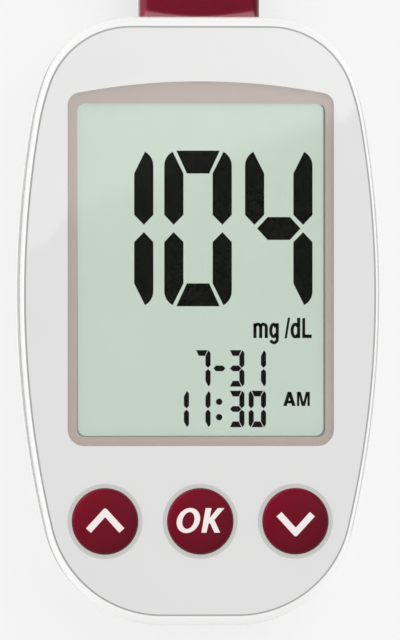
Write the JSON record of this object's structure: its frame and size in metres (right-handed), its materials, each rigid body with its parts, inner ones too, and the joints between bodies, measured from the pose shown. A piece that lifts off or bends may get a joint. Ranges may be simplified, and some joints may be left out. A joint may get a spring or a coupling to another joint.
{
  "type": "blood glucose meter",
  "caption": "Hand-held blood glucose meter: display, three round keys, strip port with a pull-out ejector, and a sliding battery door on the back.",
  "frame": {"origin": "middle of the flat back, on the surface that the meter lies on", "axes": "+X across the display to the right, +Y up the display towards the strip port, +Z out of the display"},
  "size_m": [0.053, 0.094, 0.0165],
  "materials": {
    "housing_white": "satin gloss moulded ABS",
    "panel_grey": "smooth gloss",
    "clear_lens": "clear acrylic, polished",
    "mask_taupe": "screen-printed film",
    "ring_grey": "smooth satin",
    "polariser_film": "satin film",
    "lcd_glass": "polished",
    "lcd_green": "matt reflective film",
    "inner_white": "plain moulded",
    "dark_rubber": "matt",
    "board_green": "solder-resist coated",
    "chip_black": "matt moulded",
    "bright_steel": "bright plated",
    "screw_steel": "zinc plated",
    "spring_steel": "drawn wire",
    "gold_contact": "gold plated",
    "key_red": "gloss moulded",
    "head_red": "gloss moulded",
    "carriage_grey": "plain moulded acetal"
  },
  "bodies": {
    "meter": {"rear_housing": "housing_white", "front_housing": "housing_white", "face_panel": "panel_grey", "display_lens": "clear_lens", "display_mask": "mask_taupe", "key_rings": "ring_grey", "lcd_polariser": "polariser_film", "lcd_front_glass": "lcd_glass", "lcd_rear_glass": "lcd_glass", "lcd_reflector": "lcd_green", "lcd_holder": "inner_white", "zebra_strip": "dark_rubber", "main_board": "board_green", "processor_chip": "chip_black", "memory_chip": "chip_black", "crystal_can": "bright_steel", "chip_resistors": "chip_black", "buzzer": "chip_black", "switch_bases": "bright_steel", "strip_connector": "chip_black", "strip_contacts": "gold_contact", "cell_positive_contact": "bright_steel", "cell_negative_contact": "bright_steel", "coin_cell": "bright_steel", "screws": "screw_steel", "ejector_spring": "spring_steel"},
    "key_up": {"up_key": "key_red", "up_plunger": "chip_black"},
    "key_ok": {"ok_key": "key_red", "ok_plunger": "chip_black"},
    "key_down": {"down_key": "key_red", "down_plunger": "chip_black"},
    "ejector": {"ejector_head": "head_red", "ejector_carriage": "carriage_grey"},
    "door": {"battery_door": "housing_white"}
  },
  "joints": [
    {"name": "up_press", "type": "slide", "parent": "meter", "child": "key_up", "axis": [0, 0, -1], "range_m": [0, 0.0005], "stiffness_N_per_m": 800, "springref_m": -0.0004},
    {"name": "ok_press", "type": "slide", "parent": "meter", "child": "key_ok", "axis": [0, 0, -1], "range_m": [0, 0.0005], "stiffness_N_per_m": 800, "springref_m": -0.0004},
    {"name": "down_press", "type": "slide", "parent": "meter", "child": "key_down", "axis": [0, 0, -1], "range_m": [0, 0.0005], "stiffness_N_per_m": 800, "springref_m": -0.0004},
    {"name": "eject_pull", "type": "slide", "parent": "meter", "child": "ejector", "axis": [0, 1, 0], "range_m": [0, 0.004], "stiffness_N_per_m": 150, "springref_m": -0.002, "deforming": ["ejector_spring"]},
    {"name": "door_slide", "type": "slide", "parent": "meter", "child": "door", "axis": [0, -1, 0], "range_m": [0, 0.005]}
  ]
}
